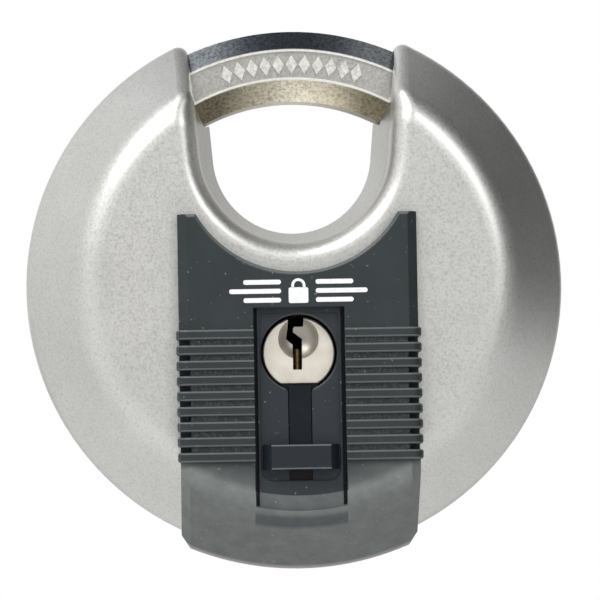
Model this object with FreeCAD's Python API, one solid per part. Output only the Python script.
import FreeCAD, Part
import math
import os

# Disc padlock. Millimetres, +Z up, front toward -Y, +X to the right seen from the front.
# Every piece is built about the disc's middle plane, with the disc's axis along Y through the
# origin, and is saved with the flat rear face of the disc on y = 0.
# "Depth" is the distance in front of the middle plane. Angles run clockwise from the top, seen
# from the front.

Vector = FreeCAD.Vector
Y_AXIS = Vector(0, 1, 0)
ORIGIN = Vector(0, 0, 0)

# Disc: two pressed stainless dishes, welded at the middle plane
disc_radius = 35.0
half_thickness = 12.5
sheet = 1.3
crease_radius = 27.5
bevel_slope = 1.235
crease_round = 5.0
rim_round = 2.5
bevel_stretch = math.hypot(1.0, bevel_slope)

# Notch in the top of the disc
notch_z = 17.5
notch_wall = 12.25
notch_mouth = 10.4
flange_depth = 5.3
notch_draft = math.radians(5.0)
notch_top = 48.0
lip_round = 2.6
ear_round = 1.3
ear_round_inside = 0.9
ear_relief = 1.1
crevice = 0.35

# Shackle: an octagonal bar bent to an arc about the disc's axis
shackle_radius = 28.95
shackle_half = 4.6
shackle_flat = 1.98
shackle_start = -37.0
shackle_end = 85.0
shackle_turn = 60.0
shackle_gap = 0.35
field_depth = 0.35
field_edge = 0.28
field_span = 27.5
mark_count = 5
mark_pitch = 3.4
mark_along = 0.75
mark_across = 1.25

# Key plug and its pins
plug_z = -9.1
plug_radius = 4.6
plug_front = half_thickness + 0.1
plug_back = -3.6
bore_radius = plug_radius + 0.05
window_radius = 5.0
rim_edge = 0.2
dimple_z = 1.84
dimple_radius = 2.6
dimple_sphere = 3.2
pin_depths = [7.3, 4.2, 1.1, -2.0]
pin_tips = [1.1, -0.7, -0.2, -1.1]
pin_cone = 0.45
pin_radius = 1.2
pin_nose = 0.6
chamber_radius = 1.25
chamber_top = 2.4
key_pin_foot = plug_z - plug_radius + 0.15
driver_top = plug_z - plug_radius - 0.02
driver_length = 3.38
spring_top = driver_top - driver_length - 0.05
spring_foot = -21.6
spring_wire = 0.17
spring_turns = 5.5

# Cylinder housing
housing_front = 8.9
housing_radius = 6.6
housing_half = 3.2
housing_foot = -22.5
cap_half = 1.6
cap_thickness = 0.8

# Inner plates and castings
plate_radius = 25.5
plate_front = 11.1
plate_back = 9.0
plate_notch = 14.6
inner_notch = 13.85
core_radius = 23.2
guide_inner = 23.6
guide_outer = 31.3
guide_shoulder = 5.35
guide_crest = 28.5
guide_top = 8.85
tunnel_half = 4.8
stop_outer = 33.2
stop_side = 2.5
stop_corner = 31.6
spacer_inner = 22.6
spacer_angles = (150.0, 330.0)
backing_inner = 6.0
backing_start = 233.0
rivet_radius = 1.6
rivet_circle = 19.0

# Rotor behind the cylinder, which carries the shackle
rotor_front = -5.4
rotor_back = -8.4
rotor_hub = 3.6
rotor_sector = 22.0
stud_radius = 2.0
stud_head_radius = 3.4
arm_start = 66.0
arm_end = 86.0
arm_inner = 20.0
arm_outer = 30.1
arm_shoulder = -6.4
arm_crest = 28.6
arm_pad = 26.2
sector_end = 165.0
slot_angle = 150.0
slot_reach = (14.0, 19.9)
drive_pin_radius = 1.5
slot_half = drive_pin_radius + 0.06
shackle_rivet_circle = 27.45
shackle_rivet_radius = 1.1
shackle_rivet_angles = [70.0, 80.0]

# Tail of the plug: a cam whose pin sits as far from the plug's axis as that axis is from the
# disc's, so that the rotor turns by exactly half of the key's angle
cam_front = -3.8
cam_back = -5.2
cam_hub = 4.8
cam_pad = 2.4
cam_throw = -plug_z
cam_angle = 120.0
tang_radius = 2.6
tang_half = 1.8

# Plastic cover
cover_half = 15.25
cover_face = 15.4
cover_crease = 29.2
cover_foot = 36.7
cover_top = 8.7
cover_arc = 14.85
cover_arc_z = 16.05
cover_lip_end = 30.0
cover_lip = 1.7
cover_chamfer = 1.2
cover_round = 0.5
rib_count = 9
rib_pitch = 1.945
rib_height = 1.22
rib_first = -6.7
rib_proud = 0.6
rib_side = 0.35
rib_edge = 0.3
rib_curve = 1.5
pocket_inner = 13.85
pocket_height = 0.62
pocket_depth = 13.0
recess_half = 5.8
recess_top = -3.35
recess_floor = 14.4
groove_inner = 5.35
groove_floor = 13.1
groove_reach = 29.0
track_half = 5.05
track_top = -4.0
track_foot = -25.4
track_floor = 14.1
slit_half = 1.5
slit_round = 0.8
eye_radius = 4.88
eye_chamfer = 0.2
slit_foot = -25.3
pocket_half = 2.5
pocket_floor = 13.6
pocket_top = -3.6
pocket_foot = -25.6

# Keyhole shutter that slides in the cover
shutter_half = 2.3
shutter_top = -12.95
shutter_foot = -25.45
shutter_back = 12.75
shutter_front = 13.45
stem_half = 1.4
stem_front = 14.25
tab_low = -23.95
tab_high = -20.8
tab_half = 4.85
tab_front_half = 3.7
tab_back = 14.3
tab_front = 16.6
tab_edge = 0.28


def in_section(radius, depth):
    """A point of a profile that is turned about the disc's axis."""
    return Vector(radius, -depth, 0)


def in_face(x, z):
    """A point of an outline seen from the front."""
    return Vector(x, 0, z)


def polar(radius, angle):
    """The x and z of a point at an angle clockwise from the top."""
    turn = math.radians(angle)
    return radius * math.sin(turn), radius * math.cos(turn)


def outline(corners, place):
    """A closed wire through corners (u, v, rounding)."""
    points = [place(u, v) for u, v, _ in corners]
    count = len(points)
    edges = []
    starts = []
    ends = []
    for i in range(count):
        before = (points[i - 1] - points[i]).normalize()
        after = (points[(i + 1) % count] - points[i]).normalize()
        rounding = corners[i][2]
        if rounding == 0:
            starts.append(points[i])
            ends.append(points[i])
            continue
        half_angle = before.getAngle(after) / 2
        setback = rounding / math.tan(half_angle)
        inward = (before + after).normalize()
        middle = points[i] + inward * (rounding / math.sin(half_angle) - rounding)
        starts.append(points[i] + before * setback)
        ends.append(points[i] + after * setback)
        edges.append(Part.Arc(starts[i], middle, ends[i]).toShape())
    for i in range(count):
        following = starts[(i + 1) % count]
        if (following - ends[i]).Length > 1e-6:
            edges.append(Part.LineSegment(ends[i], following).toShape())
    return Part.Wire(Part.__sortEdges__(edges))


def plate(corners, front, back):
    """A flat piece with the given outline between two depths."""
    face = Part.Face(outline(corners, in_face))
    face.translate(Vector(0, -front, 0))
    return face.extrude(Vector(0, front - back, 0))


def turned(corners, start=0.0, end=360.0):
    """A profile turned about the disc's axis from one angle to another."""
    face = Part.Face(outline(corners, in_section))
    face.rotate(ORIGIN, Y_AXIS, start - 90.0)
    return face.revolve(ORIGIN, Y_AXIS, end - start)


def ring(inner, outer, front, back, start=0.0, end=360.0):
    """A plain ring, or a part of one."""
    corners = [(inner, back, 0), (outer, back, 0), (outer, front, 0), (inner, front, 0)]
    return turned(corners, start, end)


def rod(radius, front, back, x=0.0, z=0.0):
    """A round bar along Y."""
    return Part.makeCylinder(radius, front - back, Vector(x, -front, z), Y_AXIS)


def block(half, low, high, front, back):
    """A box that is symmetric about x = 0."""
    return Part.makeBox(2 * half, front - back, high - low, Vector(-half, -front, low))


def notch_outline(radius, depth):
    """The notch seen from the front: a round floor and two sides that lean out."""
    x = radius * math.cos(notch_draft)
    z = notch_z - radius * math.sin(notch_draft)
    x_top = x + (notch_top - z) * math.tan(notch_draft)
    left = Vector(-x, -depth, z)
    right = Vector(x, -depth, z)
    top_right = Vector(x_top, -depth, notch_top)
    top_left = Vector(-x_top, -depth, notch_top)
    floor = Part.Arc(left, Vector(0, -depth, notch_z - radius), right).toShape()
    sides = [(right, top_right), (top_right, top_left), (top_left, left)]
    return Part.Wire([floor] + [Part.LineSegment(a, b).toShape() for a, b in sides])


def notch_block(radius, front, back):
    """A solid that fills the notch between two depths."""
    face = Part.Face(notch_outline(radius, front))
    return face.extrude(Vector(0, front - back, 0))


def notch_funnel(front_radius, back_radius, front, back):
    """The same with a radius that changes with depth."""
    wires = [notch_outline(front_radius, front), notch_outline(back_radius, back)]
    return Part.makeLoft(wires, True, True)


def notch_distance(point, radius):
    """How far a point is from the side of the notch."""
    x = radius * math.cos(notch_draft)
    z = notch_z - radius * math.sin(notch_draft)
    if point.z < z:
        return abs(math.hypot(point.x, point.z - notch_z) - radius)
    return abs(abs(point.x) - x - (point.z - z) * math.tan(notch_draft))


def disc(inset, back):
    """Half of the disc as a solid, with its surface moved in by inset."""
    rim = disc_radius - inset
    face = half_thickness - inset
    slant = half_thickness - inset * bevel_stretch
    crease = crease_radius + (slant - face) / bevel_slope
    rim_depth = slant - (rim - crease_radius) * bevel_slope
    return turned([
        (0, back, 0),
        (rim, back, 0),
        (rim, rim_depth, rim_round - inset),
        (crease, face, crease_round - inset),
        (0, face, 0),
    ])


def middle_of(edge):
    return edge.valueAt((edge.FirstParameter + edge.LastParameter) / 2)


def lip_radius(point, ear):
    """The lip is widest on the face and narrows along the bevel to the ear's tip."""
    share = (-point.y - 3.0) / 7.0
    return ear + (lip_round - ear) * max(0.0, min(1.0, share))


def rounded_lip(solid, radius, inset, ear):
    """Round the edge that runs along the notch and down the ears."""
    document = FreeCAD.newDocument("lip")
    base = document.addObject("Part::Feature", "base")
    base.Shape = solid
    rounding = document.addObject("Part::Fillet", "rounding")
    rounding.Base = base
    radii = []
    for number, edge in enumerate(solid.Edges, 1):
        middle = middle_of(edge)
        first = edge.valueAt(edge.FirstParameter)
        last = edge.valueAt(edge.LastParameter)
        along_depth = abs(first.y - last.y) > 0.99 * edge.Length
        at_rim = math.hypot(middle.x, middle.z) > disc_radius - inset - 0.01
        on_side = notch_distance(middle, radius) < 0.001
        at_back = max(first.y, last.y, middle.y) > -0.001 and not at_rim
        if on_side and not at_back and (at_rim or not along_depth):
            radii.append((number, lip_radius(first, ear) - inset, lip_radius(last, ear) - inset))
    rounding.Edges = radii
    document.recompute()
    shape = rounding.Shape.copy()
    FreeCAD.closeDocument(document.Name)
    return shape


def shackle_profile(grow, corner=0.0):
    """The octagonal section of the shackle, or of the tunnel around it."""
    half = shackle_half + grow
    flat = shackle_flat + grow * math.tan(math.radians(22.5))
    steps = [(half, flat), (flat, half), (-flat, half), (-half, flat)]
    steps += [(-half, -flat), (-flat, -half), (flat, -half), (half, -flat)]
    return [(shackle_radius + along, depth, corner) for along, depth in steps]


def dish():
    """The front dish with the wall and the folded flange of the notch."""
    right = Part.makeBox(60, 60, 120, Vector(0, -30, -60))
    back_wall = notch_wall + sheet
    outside = disc(0, 0).cut(notch_block(notch_wall, 30, -1)).common(right)
    outside = rounded_lip(outside, notch_wall, 0, ear_round)
    inside = disc(sheet, -2).cut(notch_block(back_wall, 30, -3)).common(right)
    inside = rounded_lip(inside, back_wall, sheet, sheet + ear_round_inside)
    shell = outside.cut(inside)
    cavity = disc(sheet, -1).common(right)
    shell = shell.cut(notch_block(back_wall + 0.02, flange_depth, -1).common(cavity))
    behind = sheet * math.hypot(1.0, (notch_wall - notch_mouth) / flange_depth)
    flange = notch_funnel(notch_wall + behind, notch_mouth + behind, flange_depth, 0)
    flange = flange.cut(notch_funnel(notch_wall, notch_mouth, flange_depth, 0))
    shell = shell.fuse(flange.common(cavity))
    groove = notch_block(notch_wall + crevice, flange_depth + crevice, flange_depth - 0.05)
    shell = shell.cut(groove.common(rod(shackle_radius - shackle_half, 30, -1)))
    beside = ring(shackle_radius - shackle_flat, disc_radius, flange_depth, -1)
    tunnel = turned(shackle_profile(shackle_gap)).fuse(beside)
    shell = shell.cut(tunnel.common(cavity).common(notch_block(back_wall + ear_relief, 30, -2)))
    return shell.fuse(shell.mirror(ORIGIN, Vector(1, 0, 0))).removeSplitter()


def half_turn(shape):
    """The same piece on the rear side."""
    copy = shape.copy()
    copy.rotate(ORIGIN, Vector(0, 0, 1), 180)
    return copy


def front_shell(shape):
    return shape.cut(rod(window_radius, 20, 0, 0, plug_z))


def hard_plate():
    """A hardened disc that lies behind one face, open at the notch."""
    disc_plate = rod(plate_radius, plate_front, plate_back)
    return disc_plate.cut(notch_block(plate_notch, plate_front + 1, plate_back - 1))


def rivet_places():
    """Four rivets; the two on the left reach the rear plate."""
    through = [polar(rivet_circle, angle) for angle in (240.0, 285.0)]
    short = [polar(rivet_circle, angle) for angle in (75.0, 120.0)]
    return through, short


def core_rivets():
    through, short = rivet_places()
    long_rods = [rod(rivet_radius, plate_front, -plate_front, x, z) for x, z in through]
    short_rods = [rod(rivet_radius, plate_front, plug_back, x, z) for x, z in short]
    return Part.makeCompound(long_rods + short_rods)


def front_plate():
    return hard_plate().cut(rod(window_radius, 20, 0, 0, plug_z)).cut(core_rivets())


def rear_plate():
    stud_hole = rod(stud_radius, 20, -20)
    return half_turn(hard_plate()).cut(stud_hole).cut(core_rivets())


def housing_form(grow):
    """The key-shaped outside of the cylinder housing."""
    barrel = rod(housing_radius + grow, housing_front, plug_back, 0, plug_z)
    half = housing_half + grow
    bible = block(half, housing_foot - grow, plug_z, housing_front, plug_back)
    return barrel.fuse(bible)


def retaining_pin():
    """A pin half in the housing and half in the core, beside the barrel."""
    x, z = polar(housing_radius, -45.0)
    return rod(1.0, housing_front, plug_back, x, z + plug_z)


def chambers(radius, low, high):
    """One upright hole for each pin."""
    holes = []
    for depth in pin_depths:
        holes.append(Part.makeCylinder(radius, high - low, Vector(0, -depth, low)))
    return Part.makeCompound(holes)


def cylinder_housing():
    housing = housing_form(0).cut(rod(bore_radius, 20, -20, 0, plug_z))
    housing = housing.cut(chambers(chamber_radius, housing_foot, plug_z))
    return housing.cut(pin_chamber_cap()).cut(retaining_pin())


def pin_chamber_cap():
    front = housing_front - 0.3
    return block(cap_half, housing_foot, housing_foot + cap_thickness, front, plug_back + 0.3)


def core_body():
    core = rod(core_radius, housing_front, plug_back)
    core = core.cut(notch_block(inner_notch, 20, -20))
    core = core.cut(housing_form(0.05)).cut(retaining_pin())
    return core.cut(core_rivets())


def front_guide():
    """The ring that forms the front of the shackle's tunnel, under the bevel."""
    guide = turned([
        (guide_inner, tunnel_half, 0),
        (guide_outer, tunnel_half, 0),
        (guide_outer, guide_shoulder, 0),
        (guide_crest, guide_top, 0),
        (guide_inner, guide_top, 0),
    ])
    return guide.cut(notch_block(inner_notch, 20, -20))


def stop_block():
    """The filling of the tunnel where the shackle never goes, with the seat for its free end."""
    half = tunnel_half - 0.05
    corners = [(guide_inner, half), (stop_corner, half), (stop_outer, stop_side)]
    corners += [(r, -d) for r, d in reversed(corners)]
    end = 360.0 + shackle_start - 1.5
    start = shackle_end + shackle_turn + 2.0
    return turned([(r, d, 0) for r, d in corners], start, end)


def rear_spacer():
    """The casting that forms the rear of the tunnel and backs the core on the left."""
    start, end = spacer_angles
    bevelled = turned([
        (spacer_inner, -tunnel_half, 0),
        (guide_outer, -tunnel_half, 0),
        (guide_outer, -guide_shoulder, 0),
        (guide_crest, -guide_top, 0),
        (spacer_inner, -guide_top, 0),
    ], start, end)
    reach = spacer_inner + 0.2
    inner = ring(backing_inner, reach, -tunnel_half, -guide_top, backing_start, end)
    spacer = bevelled.fuse(inner).cut(notch_block(inner_notch, 20, -20))
    return spacer.cut(core_rivets()).removeSplitter()


def rotor():
    """The lever behind the cylinder: hub, slotted sector and the arm that holds the shackle."""
    hub = rod(rotor_hub, rotor_front, rotor_back)
    sector = ring(1.0, rotor_sector, rotor_front, rotor_back, arm_start, sector_end)
    arm = turned([
        (arm_inner, rotor_front, 0),
        (arm_outer, rotor_front, 0),
        (arm_outer, arm_shoulder, 0),
        (arm_crest, rotor_back, 0),
        (arm_inner, rotor_back, 0),
    ], arm_start, arm_end)
    pad = ring(arm_pad, arm_outer, -shackle_half, rotor_front - 0.1, arm_start, shackle_end)
    lever = hub.fuse(sector).fuse(arm).fuse(pad)
    low, high = slot_reach
    slot = Part.makeBox(2 * slot_half, 20, high - low, Vector(-slot_half, -10, low))
    slot.rotate(ORIGIN, Y_AXIS, slot_angle)
    lever = lever.cut(slot).cut(rod(stud_radius + 0.05, 20, -20)).cut(shackle_rivets())
    return lever.removeSplitter()


def rotor_pivot():
    """A headed stud riveted into the rear plate."""
    return rod(stud_radius, -4.4, -plate_front).fuse(rod(stud_head_radius, -4.4, cam_back))


def shackle_rivets():
    rods = []
    for angle in shackle_rivet_angles:
        x, z = polar(shackle_rivet_circle, angle)
        rods.append(rod(shackle_rivet_radius, 0.5, rotor_back, x, z))
    return Part.makeCompound(rods)


def mark(angle):
    """A raised lozenge on the front flat of the shackle."""
    base = shackle_half - field_depth - 0.05
    corners = [(-mark_along, 0, 0), (0, mark_across, 0), (mark_along, 0, 0), (0, -mark_across, 0)]
    lozenge = plate(corners, base + field_depth, base)
    lozenge.translate(Vector(0, 0, shackle_radius))
    lozenge.rotate(ORIGIN, Y_AXIS, angle)
    return lozenge


def shackle():
    """The curved octagonal bar with a sunk field of raised lozenges on its front flat."""
    bar = turned(shackle_profile(0), shackle_start, shackle_end)
    half = shackle_flat - field_edge
    floor = shackle_half - field_depth
    field = ring(shackle_radius - half, shackle_radius + half, 10, floor, -field_span, field_span)
    bar = bar.cut(field)
    for number in range(-mark_count, mark_count + 1):
        bar = bar.fuse(mark(number * mark_pitch))
    return bar.cut(shackle_rivets())


def keyway():
    """The slot of the plug seen from the front, with its wards."""
    corners = [
        (-1.33, 6.0, 0), (-1.33, 3.4, 0), (-1.55, 1.85, 0), (-0.73, 1.12, 0),
        (-0.75, -2.12, 0), (0.40, -2.12, 0), (0.50, 1.85, 0), (-0.63, 2.70, 0),
        (-0.63, 3.20, 0), (-0.45, 3.40, 0), (0.64, 3.40, 0), (0.77, 6.0, 0),
    ]
    slot = plate(corners, 20, -3.2)
    slot.translate(Vector(0, 0, plug_z))
    return slot


def plug():
    """The key plug with its keyway, pin holes and the flat-sided tang for the cam."""
    body = rod(plug_radius, plug_front, plug_back, 0, plug_z)
    rim = body.Edges[0]
    for edge in body.Edges:
        if edge.Closed and abs(edge.CenterOfMass.y + plug_front) < 0.001:
            rim = edge
    body = body.makeFillet(rim_edge, [rim])
    tang = rod(tang_radius, plug_back + 0.1, cam_back, 0, plug_z)
    tang = tang.common(Part.makeBox(2 * tang_half, 40, 60, Vector(-tang_half, -20, -40)))
    above = math.sqrt(dimple_sphere ** 2 - dimple_radius ** 2)
    centre = Vector(0, -plug_front - above, plug_z + dimple_z)
    dimple = Part.makeSphere(dimple_sphere, centre)
    body = body.fuse(tang).cut(keyway()).cut(dimple)
    return body.cut(chambers(chamber_radius, plug_z - plug_radius - 1, plug_z + chamber_top))


def drive_cam():
    """The plate on the tang of the plug that carries the drive pin."""
    hub = rod(cam_hub, cam_front, cam_back, 0, 0)
    pad = rod(cam_pad, cam_front, cam_back, 0, cam_throw)
    arm = block(cam_pad, 0, cam_throw, cam_front, cam_back)
    cam = hub.fuse(pad).fuse(arm).removeSplitter()
    cam.rotate(ORIGIN, Y_AXIS, cam_angle)
    cam.translate(Vector(0, 0, plug_z))
    hole = rod(tang_radius + 0.03, 0, -20, 0, plug_z)
    half = tang_half + 0.03
    hole = hole.common(Part.makeBox(2 * half, 40, 60, Vector(-half, -20, -40)))
    return cam.cut(hole).cut(drive_pin())


def drive_pin():
    x, z = polar(cam_throw, cam_angle)
    return rod(drive_pin_radius, cam_front, -8.2, x, z + plug_z)


def key_pin(tip, depth):
    """A round pin with a coned tip that reaches into the keyway."""
    top = plug_z + tip
    length = top - pin_cone - key_pin_foot
    body = Part.makeCylinder(pin_radius, length, Vector(0, -depth, key_pin_foot))
    nose = Part.makeCone(pin_radius, pin_nose, pin_cone, Vector(0, -depth, top - pin_cone))
    return body.fuse(nose)


def driver_pin(depth):
    low = driver_top - driver_length
    return Part.makeCylinder(pin_radius, driver_length, Vector(0, -depth, low))


def pin_spring(depth):
    """An open coil of round wire."""
    mean = pin_radius - spring_wire - 0.05
    height = spring_top - spring_foot - 2 * spring_wire
    helix = Part.makeHelix(height / spring_turns, height, mean)
    helix.translate(Vector(0, -depth, spring_foot + spring_wire))
    start = Vector(mean, -depth, spring_foot + spring_wire)
    section = Part.Wire([Part.makeCircle(spring_wire, start, Y_AXIS)])
    return helix.makePipeShell([section], True, False)


def cover_disc():
    """The turned outside of the cover: face, bevel, foot and rear lip."""
    slant = (cover_foot - cover_crease) * bevel_slope
    rear = half_thickness - (cover_lip_end - crease_radius) * bevel_slope
    lip_out = rear + cover_lip * bevel_stretch
    foot_rear = lip_out - (cover_foot - cover_lip_end) * bevel_slope
    return turned([
        (0, cover_face, 0),
        (cover_crease, cover_face, 2.5),
        (cover_foot, cover_face - slant, 1.8),
        (cover_foot, -foot_rear, 1.8),
        (cover_lip_end, -lip_out, 0),
        (cover_lip_end, 0, 0),
        (0, 0, 0),
    ])


def cover_outline():
    """The sides of the cover, its shoulders and the hollow under the notch."""
    sides = block(cover_half, -50, cover_top, 20, -20)
    return sides.cut(rod(cover_arc, 20, 0, 0, cover_arc_z))


def rib(z, side):
    """One raised rib that runs outward and over the side of the cover."""
    inner = recess_half - 0.2
    outer = cover_half + rib_side
    front = cover_face + rib_proud
    corners = [
        (inner, half_thickness + 0.3, 0),
        (inner, front, 0),
        (outer, front, rib_curve),
        (outer, half_thickness + 0.3, 0),
    ]
    face = Part.Face(outline(corners, in_section))
    bar = face.extrude(Vector(0, 0, rib_height))
    front_edges = []
    for edge in bar.Edges:
        middle = middle_of(edge)
        across = abs(edge.valueAt(edge.FirstParameter).z - edge.valueAt(edge.LastParameter).z)
        if across < 0.01 and -middle.y > half_thickness + 0.31:
            front_edges.append(edge)
    bar = bar.makeFillet(rib_edge, front_edges)
    bar.translate(Vector(0, 0, z - rib_height / 2))
    if side < 0:
        bar = bar.mirror(ORIGIN, Vector(1, 0, 0))
    return bar


def keyhole():
    """The eye over the plug and the slit below it, as one opening through the cover."""
    opening = rod(eye_radius, 20, 0, 0, plug_z).fuse(block(slit_half, slit_foot, plug_z, 20, 0))
    corners = []
    for edge in opening.Edges:
        middle = middle_of(edge)
        if abs(abs(middle.x) - slit_half) < 0.001 and middle.z > plug_z - 5 and edge.Length > 10:
            corners.append(edge)
    opening = opening.makeFillet(slit_round, corners)
    foot = Vector(0, eye_chamfer - track_floor, plug_z)
    wide = eye_radius + eye_chamfer
    edge_cut = Part.makeCone(eye_radius, wide, eye_chamfer, foot, Vector(0, -1, 0))
    return opening.fuse(edge_cut)


def side_pockets():
    """Narrow holes at the outer end of each groove between two ribs."""
    holes = []
    for number in range(rib_count - 1):
        z = rib_first - (number + 0.5) * rib_pitch
        for side in (-1, 1):
            hole = block(2.0, z - pocket_height / 2, z + pocket_height / 2, 20, pocket_depth)
            hole.translate(Vector(side * (pocket_inner + 2.0), 0, 0))
            holes.append(hole)
    return Part.makeCompound(holes)


def cover_recess():
    """The sunk middle of the cover with the shutter's track, slit and pocket."""
    recess = block(recess_half, -cover_crease, recess_top, 20, recess_floor)
    recess = recess.common(rod(cover_crease, 20, 0))
    track = plate([
        (-track_half, track_top, 0.5), (track_half, track_top, 0.5),
        (track_half, track_foot, 1.5), (-track_half, track_foot, 1.5),
    ], 20, track_floor)
    for side in (-1, 1):
        middle = side * (recess_half + groove_inner) / 2
        groove = block((recess_half - groove_inner) / 2, -cover_crease, recess_top, 20, groove_floor)
        groove.translate(Vector(middle, 0, 0))
        recess = recess.fuse(groove.common(rod(groove_reach, 20, 0)))
    pocket = block(pocket_half, pocket_foot, pocket_top, pocket_floor, half_thickness - 1)
    return recess.fuse([track, pocket, keyhole()])


def cover():
    """The plastic jacket over the lower half of the disc."""
    body = cover_disc().common(cover_outline())
    sides = []
    for edge in body.Edges:
        middle = middle_of(edge)
        if abs(abs(middle.x) - cover_half) < 0.001 and abs(middle.y + cover_face) < 0.001:
            sides.append(edge)
    body = body.makeChamfer(cover_chamfer, sides)
    tops = []
    for edge in body.Edges:
        middle = middle_of(edge)
        if abs(middle.y + cover_face) < 0.001 and middle.z > 0 and abs(middle.x) < cover_half - cover_chamfer:
            tops.append(edge)
    body = body.makeFillet(cover_round, tops)
    body = body.cut(side_pockets())
    for number in range(rib_count):
        for side in (-1, 1):
            body = body.fuse(rib(rib_first - number * rib_pitch, side))
    body = body.cut(disc(-0.05, 0)).cut(half_turn(disc(-0.05, 0)))
    return body.cut(cover_recess()).removeSplitter()


def shutter():
    """The keyhole shutter: a plate behind the cover, a stem in the slit and a finger tab."""
    leaf = block(shutter_half, shutter_foot, shutter_top, shutter_front, shutter_back)
    stem = block(stem_half, tab_low, shutter_top - 0.35, stem_front, shutter_front - 0.1)
    tab = block(tab_half, tab_low, tab_high, tab_front, stem_front - 0.1)
    slope = Part.Face(outline([
        (-tab_half, stem_front - 1, 0), (-tab_half, tab_back + 0.3, 0),
        (-tab_front_half, tab_front + 0.1, 0), (tab_front_half, tab_front + 0.1, 0),
        (tab_half, tab_back + 0.3, 0), (tab_half, stem_front - 1, 0),
    ], in_section))
    slope.translate(Vector(0, 0, -40))
    tab = tab.common(slope.extrude(Vector(0, 0, 40)))
    long_edges = []
    for edge in tab.Edges:
        middle = middle_of(edge)
        if abs(middle.y + tab_front) < 0.001 and abs(middle.x) < 0.001:
            long_edges.append(edge)
    tab = tab.makeFillet(tab_edge, long_edges)
    return leaf.fuse([stem, tab]).removeSplitter()


def save(name, shape):
    """Write one piece, with the rear face of the disc on y = 0."""
    moved = shape.copy()
    moved.translate(Vector(0, -half_thickness, 0))
    moved.exportStep("parts/" + name + ".step")


os.makedirs("parts", exist_ok=True)
pressed = dish()
save("front_shell", front_shell(pressed))
save("rear_shell", half_turn(pressed))
for build in (
    front_plate, rear_plate, core_body, core_rivets, front_guide, stop_block, rear_spacer,
    rotor, rotor_pivot, shackle, shackle_rivets, cylinder_housing, pin_chamber_cap,
    plug, drive_cam, drive_pin, cover, shutter,
):
    save(build.__name__, build())
save("cylinder_retaining_pin", retaining_pin())
for number, (depth, tip) in enumerate(zip(pin_depths, pin_tips), 1):
    save("key_pin_" + str(number), key_pin(tip, depth))
    save("driver_pin_" + str(number), driver_pin(depth))
    save("pin_spring_" + str(number), pin_spring(depth))
